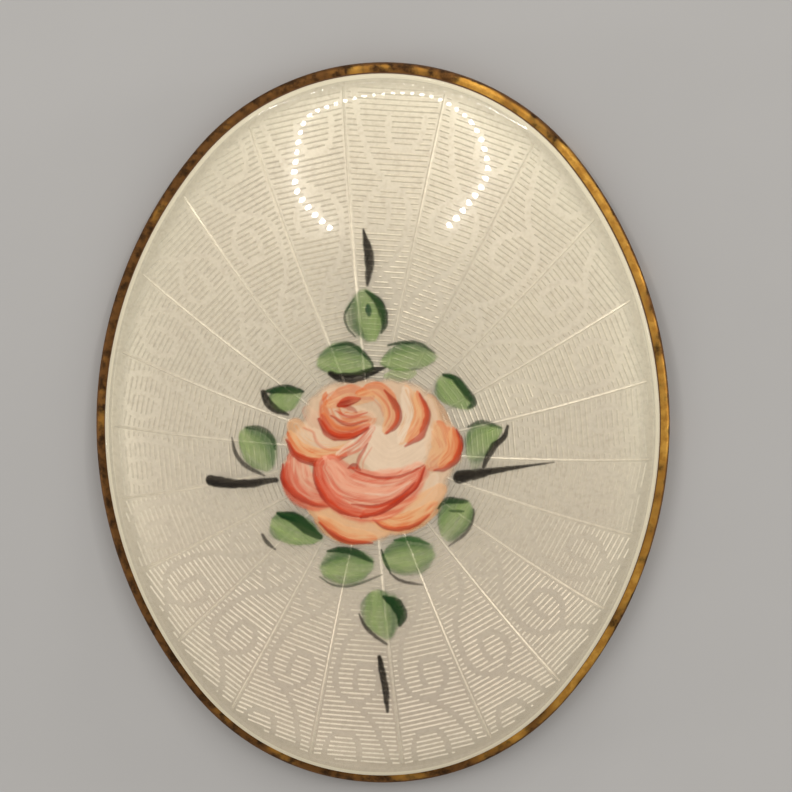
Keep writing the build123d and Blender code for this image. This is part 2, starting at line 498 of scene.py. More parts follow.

# %% [markdown]
# ## The stamped shell
#
# From the middle outwards the section runs over the dome, down to a narrow ledge, round the bright
# edge and down the rim wall to the table. Then it comes back inside the hollow, one sheet thickness
# lower. The faces under the glass get the engraved metal, a thin seam at the glass's edge is painted
# dark brown as the shade in the crease there, and the rest is worn gilt. The middle of the dome is
# level, so its first ring lies far out.

# %% Shell
INNER_RING = crown_flat * 0.95
hollow_dome = shell_dome - SHEET
hollow_crown = shell_crown - SHEET
hollow_top = ledge_z - SHEET
hollow_x = dome_reach(hollow_dome, hollow_crown, hollow_top)
inner_wall = half_width - SHEET
BOTTOM_ROUND = 0.08
WALL_RING = 0.6
seam_in = glass_x - 0.06
seam_out = glass_x + 0.07

shell_section = arc_points(INNER_RING, shell_x, shell_dome, shell_crown, 28)
shell_section += [(seam_in, ledge_z), (seam_out, ledge_z)]
shell_section += round_points(half_width, ledge_z, RIM_ROUND)
shell_section += [
    (half_width, WALL_RING),
    (half_width, BOTTOM_ROUND),
    (half_width - BOTTOM_ROUND, 0),
    (inner_wall + BOTTOM_ROUND, 0),
    (inner_wall, BOTTOM_ROUND),
    (inner_wall, hollow_top),
]
shell_section += arc_points(hollow_x, INNER_RING, hollow_dome, hollow_crown, 20)
shell_mesh = around_oval("back_plate", shell_section)
print("shell faces:", len(shell_mesh.polygons))

# %% [markdown]
# ## The engraved sunburst
#
# An engraving machine cuts one wedge, turns the work by a 22nd and cuts the next. Geometry Nodes can
# do the same: lines are laid across one wedge, broken where a scroll passes, and the wedge is turned
# round the centre. The lines are then trimmed at the border, dropped onto the dome and swept with a
# small profile. The scroll was charted from an enlarged view: (distance from the centre
# along the wedge, distance to its clockwise side), in millimetres.

# %% Scrolls of one wedge
WEDGES = 22
BURST_CENTRE = (-0.37, -0.68)
FIRST_RAY = math.radians(95.68)
wedge_angle = 2 * math.pi / WEDGES

SCROLLS = {
    "stem": (
        (7.6, -0.72), (8.4, -0.58), (9.1, -0.15), (9.9, 0.6), (10.9, 1.02), (12.0, 1.2), (12.8, 1.12),
        (13.35, 0.65), (13.7, 0.05), (14.2, -0.45), (14.8, -0.92), (15.6, -1.28), (16.8, -1.7),
        (18.4, -2.1),
    ),
    "curl": (
        (13.55, 0.2), (13.4, -0.35), (13.0, -0.8), (12.4, -1.08), (11.8, -1.0), (11.38, -0.62),
        (11.32, -0.18), (11.65, 0.12), (12.2, 0.2), (12.75, 0.15),
    ),
    "upper_curl": (
        (16.9, -0.15), (16.3, -0.12), (15.75, -0.02), (15.42, 0.3), (15.35, 0.8), (15.6, 1.3),
        (16.2, 1.6), (17.0, 1.75),
    ),
    "lower_curl": (
        (9.2, -0.1), (8.9, 0.35), (8.5, 0.72), (8.0, 0.8), (7.6, 0.55), (7.55, 0.2), (7.85, 0.02),
        (8.2, 0.15),
    ),
}


def smooth_path(points, steps=8):
    """A smooth curve through charted points."""
    points = np.array(points, float)
    ends = np.vstack([2 * points[0] - points[1], points, 2 * points[-1] - points[-2]])
    path = []
    for before, here, there, after in zip(ends, ends[1:], ends[2:], ends[3:]):
        slope = there - before
        bend = 2 * before - 5 * here + 4 * there - after
        twist = 3 * here - before - 3 * there + after
        for t in np.arange(steps) / steps:
            path.append(0.5 * (2 * here + slope * t + bend * t ** 2 + twist * t ** 3))
    return np.vstack([path, points[-1:]])


def scroll_guide():
    """The scrolls as bare edges in the wedge's own frame, x outwards and y anticlockwise."""
    points, edges = [], []
    for row in SCROLLS.values():
        path = smooth_path(row)
        edges += [(len(points) + i, len(points) + i + 1) for i in range(len(path) - 1)]
        points += [(distance, -side, 0) for distance, side in path]
    mesh = bpy.data.meshes.new("scroll_guide")
    mesh.from_pydata(points, edges, [])
    guide = bpy.data.objects.new("scroll_guide", mesh)
    bpy.context.scene.collection.objects.link(guide)
    return guide


# %% Fields of the dome
def dome_fields(bench):
    """along, height and normal of the shell's dome at a point, as fields."""
    x, y, z = bench.split(bench.add("GeometryNodeInputPosition"))
    wide = bench.math("ABSOLUTE", x)
    tall = bench.math("ABSOLUTE", y)
    at_end = tall - end_centre_y > wide * (end_centre_y / side_centre_x)
    at_side = 1 - at_end
    from_x = x + bench.math("SIGN", x) * at_side * side_centre_x
    from_y = y - bench.math("SIGN", y) * at_end * end_centre_y
    reach = bench.math("SQRT", from_x * from_x + from_y * from_y)
    along = reach + half_width - at_end * end_radius - at_side * side_radius
    run = bench.math("MAXIMUM", along - crown_flat, 0)
    rise = bench.math("SQRT", shell_dome ** 2 - run * run)
    normal = bench.join(from_x / reach * run, from_y / reach * run, rise)
    return x, y, along, shell_crown - shell_dome + rise, normal


# %% Sizes of the engraving and the nodes it needs
ENGRAVING_INPUTS = {
    "Wedges": ("NodeSocketInt", WEDGES),
    "Lines": ("NodeSocketInt", 58),
    "First line": ("NodeSocketFloat", 3.0),
    "Line pitch": ("NodeSocketFloat", 0.27),
    "Line width": ("NodeSocketFloat", 0.12),
    "Line height": ("NodeSocketFloat", 0.06),
    "Ray width": ("NodeSocketFloat", 0.15),
    "Ray height": ("NodeSocketFloat", 0.065),
    "Ray margin": ("NodeSocketFloat", 0.14),
    "Scroll width": ("NodeSocketFloat", 0.26),
    "Raggedness": ("NodeSocketFloat", 0.14),
    "Line border": ("NodeSocketFloat", shell_x - 0.28),
    "Ray border": ("NodeSocketFloat", shell_x - 0.15),
    "Seed": ("NodeSocketInt", 4),
    "Scrolls": ("NodeSocketObject", None),
    "Material": ("NodeSocketMaterial", None),
}
LINE_POINTS = 64
LINE_STATION = 0.36
RAY_START = 2.6
RAY_STEP = 0.18
RAY_POINTS = 90
RAY_STATION = 0.8
LINE_SHARE = (0.96, 1.02)
WEAR = (0.75, 1.15)
RAGGED_PER_MM = 2.6


def thread(bench, count, start, step):
    """A straight row of points joined by edges."""
    inputs = {"Count": count, "Start Location": start, "Offset": step}
    return bench.add("GeometryNodeMeshLine", inputs=inputs)


def random_between(bench, limits, seed):
    """Another number for each line, the same on every run."""
    inputs = {2: limits[0], 3: limits[1], "Seed": seed}
    return bench.add("FunctionNodeRandomValue", {"data_type": "FLOAT"}, inputs, 1)


def placed_on(bench, points, instance, **turn):
    """A copy of the instance on each point."""
    inputs = {"Points": points, "Instance": instance, **turn}
    return bench.add("GeometryNodeInstanceOnPoints", inputs=inputs)


def real(bench, geometry):
    """Instances turned into a mesh of their own."""
    return bench.add("GeometryNodeRealizeInstances", inputs={"Geometry": geometry})


def without(bench, threads, where):
    """Threads with some of their points taken out."""
    inputs = {"Geometry": threads, "Selection": where}
    return bench.add("GeometryNodeDeleteGeometry", {"domain": "POINT"}, inputs)


# %% One wedge of lines
def wedge_lines(bench, size):
    """A row of points outwards with a line across the wedge on each, broken where a scroll passes."""
    x = bench.split(bench.add("GeometryNodeInputPosition"))[0]
    first = bench.join(size("First line"), 0, 0)
    rows = thread(bench, size("Lines"), first, bench.join(size("Line pitch"), 0, 0))
    line = thread(bench, LINE_POINTS, (0, -0.5, 0), (0, 1 / (LINE_POINTS - 1), 0))
    across = 2 * (x * math.tan(wedge_angle / 2) - size("Ray margin"))
    uneven = random_between(bench, LINE_SHARE, size("Seed"))
    lines = real(bench, placed_on(bench, rows, line, Scale=bench.join(1, across * uneven, 1)))
    scrolls = bench.add("GeometryNodeObjectInfo", inputs={"Object": size("Scrolls")}, output="Geometry")
    distance = bench.add("GeometryNodeProximity", {"target_element": "EDGES"}, {0: scrolls}, "Distance")
    waver = bench.add("ShaderNodeTexNoise", inputs={"Scale": RAGGED_PER_MM, "Detail": 1.0}) - 0.5
    ragged = distance + waver * size("Raggedness")
    return without(bench, lines, ragged < size("Scroll width") / 2)


# %% A ridge along each thread
def ridges(bench, size, dome, threads, kind, station):
    """Trims threads at the border, lays them on the dome and sweeps a worn ridge along them."""
    x, y, along, height, normal = dome
    threads = without(bench, real(bench, threads), along > size(kind + " border"))
    curve = bench.add("GeometryNodeMeshToCurve", inputs={"Mesh": threads})
    inputs = {"Curve": curve, "Length": station}
    curve = bench.add("GeometryNodeResampleCurve", {"mode": "LENGTH"}, inputs)
    inputs = {"Geometry": curve, "Position": bench.join(x, y, height)}
    curve = bench.add("GeometryNodeSetPosition", inputs=inputs)
    inputs = {"Curve": curve, "Normal": normal}
    curve = bench.add("GeometryNodeSetCurveNormal", {"mode": "FREE"}, inputs)
    inputs = {"Curve": curve, "Radius": random_between(bench, WEAR, size("Seed"))}
    curve = bench.add("GeometryNodeSetCurveRadius", inputs=inputs)
    inputs = {"Resolution": 4, "Radius": 1.0}
    profile = bench.add("GeometryNodeCurvePrimitiveCircle", {"mode": "RADIUS"}, inputs)
    section = bench.join(size(kind + " height"), size(kind + " width") / 2, 1)
    profile = bench.add("GeometryNodeTransform", inputs={"Geometry": profile, "Scale": section})
    inputs = {"Curve": curve, "Profile Curve": profile, "Fill Caps": True}
    return bench.add("GeometryNodeCurveToMesh", inputs=inputs)


# %% The whole tree
def engraving_tree():
    """Lines of one wedge and one ray, turned round the centre, laid on the dome and swept."""
    tree = bpy.data.node_groups.new("engraving", "GeometryNodeTree")
    for name, (kind, default) in ENGRAVING_INPUTS.items():
        socket = tree.interface.new_socket(name=name, in_out="INPUT", socket_type=kind)
        if default is not None:
            socket.default_value = default
    tree.interface.new_socket(name="Geometry", in_out="OUTPUT", socket_type="NodeSocketGeometry")
    bench = Bench(tree)
    size = bench.add("NodeGroupInput").out
    index = bench.add("GeometryNodeInputIndex")
    inputs = {"Count": size("Wedges"), "Position": BURST_CENTRE + (0,)}
    turns = bench.add("GeometryNodePoints", inputs=inputs)
    wedge_turn = bench.join(0, 0, FIRST_RAY - (index + 0.5) * wedge_angle)
    ray_turn = bench.join(0, 0, FIRST_RAY - index * wedge_angle)
    lines = placed_on(bench, turns, wedge_lines(bench, size), Rotation=wedge_turn)
    ray = thread(bench, RAY_POINTS, (RAY_START, 0, 0), (RAY_STEP, 0, 0))
    rays = placed_on(bench, turns, ray, Rotation=ray_turn)
    dome = dome_fields(bench)
    line_ridges = ridges(bench, size, dome, lines, "Line", LINE_STATION)
    ray_ridges = ridges(bench, size, dome, rays, "Ray", RAY_STATION)
    joined = bench.add("GeometryNodeJoinGeometry", inputs={"Geometry": [line_ridges, ray_ridges]})
    inputs = {"Geometry": joined, "Scale": (MM, MM, MM)}
    joined = bench.add("GeometryNodeTransform", inputs=inputs)
    inputs = {"Geometry": joined, "Shade Smooth": False}
    joined = real(bench, bench.add("GeometryNodeSetShadeSmooth", inputs=inputs))
    inputs = {"Geometry": joined, "Material": size("Material")}
    joined = bench.add("GeometryNodeSetMaterial", inputs=inputs)
    bench.add("NodeGroupOutput", inputs={"Geometry": joined})
    return tree


def grow(tree, **inputs):
    """Runs a Geometry Nodes tree on an empty mesh and returns what it makes as a plain mesh."""
    seed = bpy.data.objects.new("seed", bpy.data.meshes.new("seed"))
    bpy.context.scene.collection.objects.link(seed)
    modifier = seed.modifiers.new("grow", "NODES")
    modifier.node_group = tree
    for item in tree.interface.items_tree:
        name = item.name.replace(" ", "_")
        if item.in_out == "INPUT" and name in inputs:
            modifier[item.identifier] = inputs[name]
    evaluated = seed.evaluated_get(bpy.context.evaluated_depsgraph_get())
    mesh = bpy.data.meshes.new_from_object(evaluated)
    seed.modifiers.remove(modifier)
    bpy.data.objects.remove(seed)
    return mesh


guide = scroll_guide()
engraving = grow(engraving_tree(), Scrolls=guide, Material=ridge_metal)
bpy.data.objects.remove(guide)
print("engraving faces:", len(engraving.polygons))


# %% Shell and engraving become one piece
def join_meshes(name, *meshes):
    """One mesh from several; each keeps its own material numbers."""
    whole = bmesh.new()
    for mesh in meshes:
        whole.from_mesh(mesh)
    joined = bpy.data.meshes.new(name)
    whole.to_mesh(joined)
    whole.free()
    return joined


METAL_SLOT, RIDGE_SLOT, SEAM_SLOT = 1, 2, 3
NEVER_ZERO = 1e-6
for face in shell_mesh.polygons:
    middle_x, middle_y = (np.float64(part + NEVER_ZERO) for part in face.center.xy / MM)
    along_here = oval_place(middle_x, middle_y)[0]
    if face.normal.z > 0 and along_here < seam_in:
        face.material_index = METAL_SLOT
    # Painted shade: the seam at the glass's edge gets the dark brown crease finish.
    elif face.normal.z > 0 and along_here < seam_out:
        face.material_index = SEAM_SLOT
for face in engraving.polygons:
    face.material_index = RIDGE_SLOT
shell_whole = join_meshes("shell", shell_mesh, engraving)
back_plate = make_piece("shell", shell_whole, gilt_brass, ground_metal, ridge_metal, old_polish)
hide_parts("back_plate")
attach(back_plate, "root")
print("shell and engraving:", len(back_plate.data.polygons), "faces")

# %% [markdown]
# ## The glass
#
# The glass is one closed layer with a rounded lip, on a bed that follows the shell's dome at an even
# gap. Its front and its lip have the finishes made above. Its underside gets one that does almost
# nothing, because a real layer of glass has no second skin there.

# %% Glass
LIP_TOP = 0.04
foot_x = dome_reach(bed_dome, shell_crown + bed_gap, glass_floor)
glass_section = arc_points(INNER_RING, front_x, front_dome, glass_crown, 40)
glass_section += round_points(glass_x, glass_edge_z, LIP_ROUND)[1:]
glass_section += [(glass_x, glass_floor)]
glass_section += arc_points(foot_x, INNER_RING, bed_dome, shell_crown + bed_gap, 16)
glass_mesh = around_oval("glass", glass_section)
glass = make_piece("glass", glass_mesh, ivory_glass, glass_bed, glass_lip)
BED_SLOT, LIP_SLOT = 1, 2
for face in glass_mesh.polygons:
    if face.normal.z < -0.01:
        face.material_index = BED_SLOT
    elif face.center.z < (glass_edge_z + LIP_TOP) * MM:
        face.material_index = LIP_SLOT
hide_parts("enamel")
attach(glass, "root")
print("glass faces:", len(glass_mesh.polygons))

# %% [markdown]
# ## Painting
#
# A painter lays thin strokes of coloured glass powder with a side-loaded brush, so a stroke shades
# from one paint to another across its width. Each stroke here is a short row: the paint on its left
# and on its right, its strength, its width at the start, middle and end, and a few points that it
# passes. The brush is run over a fine mesh that follows the dome, and every point of it keeps a
# colour, a cover and a thickness. Points are in millimetres from the middle of the oval.

# %% Paints
PAINTS = {
    "cream": srgb(236, 206, 176),
    "light": srgb(240, 218, 194),
    "peach": srgb(233, 178, 128),
    "orange": srgb(222, 116, 60),
    "pink": srgb(238, 172, 144),
    "salmon": srgb(216, 108, 82),
    "red": srgb(196, 58, 26),
    "deep_red": srgb(150, 24, 8),
    "leaf": srgb(96, 142, 72),
    "leaf_light": srgb(172, 196, 122),
    "leaf_shade": srgb(36, 88, 36),
    "leaf_dark": srgb(0, 46, 14),
    "blue_green": srgb(4, 58, 48),
    "ink": srgb(5, 3, 2),
    "worn_ink": srgb(54, 44, 34),
}


# %% The brush
def lattice(x, y, seed):
    """Smooth noise from 0 to 1 on a unit lattice, the same on every run."""
    def corner(i, j):
        h = np.sin(i * 127.1 + j * 311.7 + seed * 74.7) * 43758.5453
        return h - np.floor(h)

    i, j = np.floor(x), np.floor(y)
    fx, fy = x - i, y - j
    fx, fy = fx * fx * (3 - 2 * fx), fy * fy * (3 - 2 * fy)
    low = corner(i, j) * (1 - fx) + corner(i + 1, j) * fx
    high = corner(i, j + 1) * (1 - fx) + corner(i + 1, j + 1) * fx
    return low * (1 - fy) + high * fy


def ease(value):
    """0 below 0, 1 above 1, smooth between."""
    value = np.clip(value, 0, 1)
    return value * value * (3 - 2 * value)


def nearest_on(path, x, y):
    """Distance to a path, the share of it passed, and which side the point is on, left positive."""
    best = np.full(x.shape, 1e9)
    share = np.zeros(x.shape)
    side = np.ones(x.shape)
    lengths = np.hypot(*np.diff(path, axis=0).T)
    passed = np.concatenate([[0], np.cumsum(lengths)]) / lengths.sum()
    for k, (start, stop) in enumerate(zip(path, path[1:])):
        run = stop - start
        from_x, from_y = x - start[0], y - start[1]
        t = np.clip((from_x * run[0] + from_y * run[1]) / max(run @ run, 1e-12), 0, 1)
        away_x = from_x - t * run[0]
        away_y = from_y - t * run[1]
        distance = np.hypot(away_x, away_y)
        nearer = distance < best
        best = np.where(nearer, distance, best)
        share = np.where(nearer, passed[k] + t * (passed[k + 1] - passed[k]), share)
        side = np.where(nearer, np.sign(run[0] * away_y - run[1] * away_x), side)
    return best, share, side


def inside(outline, x, y):
    """How far a point lies inside a closed outline, negative outside."""
    closed = np.vstack([outline, outline[:1]])
    distance = nearest_on(closed, x, y)[0]
    crossings = np.zeros(x.shape, int)
    for (x0, y0), (x1, y1) in zip(closed, closed[1:]):
        spans = (y0 > y) != (y1 > y)
        rise = y1 - y0 if y1 != y0 else 1e-9
        crossings += spans & (x < x0 + (y - y0) * (x1 - x0) / rise)
    return np.where(crossings % 2 == 1, distance, -distance)


def closed_path(points, steps=6):
    """A smooth closed outline through charted points."""
    points = list(points)
    return smooth_path(points[-1:] + points + points[:2], steps)[steps:-steps - 1]


# %% [markdown]
# A layer is a patch of fine squares over the glass. `wash` lays an even patch of paint on it and
# `stroke` one pull of the brush. Both end in `lay`, which mixes the new paint over what is there as
# thin paint does. A stroke's hairs leave streaks along it, so the noise behind them is stretched the
# same way. `mesh` keeps the squares that hold paint and closes them at the edge and below. The sizes
# are in millimetres: a square, the gap below the paint, its thickness, and the pitch of drips and
# hairs. LEAST_COVER is the share of cover below which a point counts as bare.

# %% A layer of paint
SQUARE = 0.05
PAINT_GAP = 0.02
THINNEST = 0.015
THICKEST = 0.12
LEAST_COVER = 0.02
WASH_THICK = 0.03
STROKE_THICK = 0.015
DRIP = 0.25
HAIR = 0.09
FINE_HAIR = 0.045
PAINT_CREASE = math.radians(60)


class Layer:
    """Paint on a patch of the glass: colour, cover and thickness at each point."""

    def __init__(self, low, high):
        across = np.arange(low[0], high[0] + SQUARE, SQUARE)
        up = np.arange(low[1], high[1] + SQUARE, SQUARE)
        self.x, self.y = np.meshgrid(across, up)
        self.colour = np.zeros(self.x.shape + (3,))
        self.cover = np.zeros(self.x.shape)
        self.thick = np.zeros(self.x.shape)

    def lay(self, paint, share, thick):
        """New paint with this share of cover, over what is there."""
        colour = np.asarray(paint)[..., :3]
        whole = self.cover + share - self.cover * share
        mixed = self.colour * (self.cover * (1 - share))[..., None] + colour * share[..., None]
        evened = mixed / np.maximum(whole, 1e-4)[..., None]
        self.colour = np.where(whole[..., None] > 1e-4, evened, colour)
        self.cover = whole
        self.thick += share * thick

    def wash(self, paint, strength, outline, soft, mottle, seed=1):
        """An even patch of paint inside an outline, with a soft and slightly wavy edge."""
        wobble = (lattice(self.x * 3, self.y * 3, seed) - 0.5) * 0.16
        depth = inside(closed_path(outline), self.x, self.y) + wobble
        wide = lattice(self.x * 2.2, self.y * 2.2, seed + 5)
        narrow = lattice(self.x * 9, self.y * 4, seed + 9)
        cover = 1 - mottle * (wide * 0.6 + narrow * 0.4)
        self.lay(PAINTS[paint], ease(depth / soft + 0.5) * strength * cover, WASH_THICK)

    def stroke(self, paints, strength, widths, points, seed=1, soft=0.07, dry=0.35):
        """One pull of the brush; its hairs leave streaks and it runs dry towards the end."""
        path = smooth_path(points)
        distance, share, side = nearest_on(path, self.x, self.y)
        start, middle, stop = widths
        width = start * (1 - share) * (1 - 2 * share) + 4 * middle * share * (1 - share)
        width += stop * share * (2 * share - 1)
        passed = share * np.hypot(*np.diff(path, axis=0).T).sum()
        ragged = lattice(passed / DRIP + side * 20, passed * 0 + 3, seed) - 0.5
        half = np.maximum(width / 2, 0.01) + np.minimum(0.17 * width, 0.05) * ragged
        across = side * distance
        hairs = lattice(across / HAIR + 40, passed / 0.8, seed) - 0.5
        fine = lattice(across / FINE_HAIR + 90, passed / 0.5, seed + 3) - 0.5
        streaks = (hairs * 0.6 + fine * 0.5) * np.clip(width / 0.5, 0.25, 1)
        edge = ease((half - distance) / max(soft, 0.09 * middle) + 0.5 + streaks * 0.9)
        lean = ease(0.5 + 0.5 * across / half + streaks * 1.5)[..., None]
        left, right = (np.array(PAINTS[paint]) for paint in paints)
        cover = 1 - dry * np.clip(streaks + 0.25 + 0.35 * share, 0, 1)
        thick = STROKE_THICK * (1 + streaks)
        self.lay(left * lean + right * (1 - lean), edge * strength * cover, thick)

    def mesh(self, name):
        """A closed layer on the glass. Both its skins show, so each holds half of the cover."""
        shown = self.cover > LEAST_COVER
        cells = shown[:-1, :-1] | shown[1:, :-1] | shown[:-1, 1:] | shown[1:, 1:]
        rows, columns = self.x.shape
        index = np.arange(rows * columns).reshape(rows, columns)
        corners = (index[:-1, :-1], index[:-1, 1:], index[1:, 1:], index[1:, :-1])
        quads = np.stack(corners, -1)[cells]
        used = np.unique(quads)
        number = np.full(rows * columns, -1)
        number[used] = np.arange(len(used))
        top = number[quads]
        count = len(used)
        edges = np.concatenate([top[:, [i, (i + 1) % 4]] for i in range(4)])
        known = {tuple(edge) for edge in edges.tolist()}
        rim = [edge for edge in edges.tolist() if (edge[1], edge[0]) not in known]
        x, y = self.x.ravel()[used], self.y.ravel()[used]
        floor = dome_height(oval_place(x, y)[0], front_dome, glass_crown) + PAINT_GAP
        level = floor + THINNEST + np.minimum(self.thick.ravel()[used], THICKEST)
        points = np.vstack([np.stack([x, y, level], 1), np.stack([x, y, floor], 1)])
        faces = top.tolist() + (top[:, ::-1] + count).tolist()
        faces += [(b, a, a + count, b + count) for a, b in rim]
        mesh = make_mesh(name, points, faces)
        paint = mesh.attributes.new("paint", "FLOAT_COLOR", "POINT")
        cover = np.clip(self.cover.ravel()[used], 0, 1)
        skin = 1 - np.sqrt(1 - cover)
        values = np.concatenate([self.colour.reshape(-1, 3)[used], skin[:, None]], 1)
        paint.data.foreach_set("color", np.vstack([values, values]).ravel())
        mesh.shade_smooth()
        mesh.set_sharp_from_angle(angle=PAINT_CREASE)
        return mesh


# %% [markdown]
# ## The rose
#
# The rose is the stock flower of such brooches: a pale ground first, then each petal as a wide soft
# stroke, a narrower one of a stronger colour, and a fine dark one along its edge. The strokes are
# listed petal by petal, in the order in which they are laid.

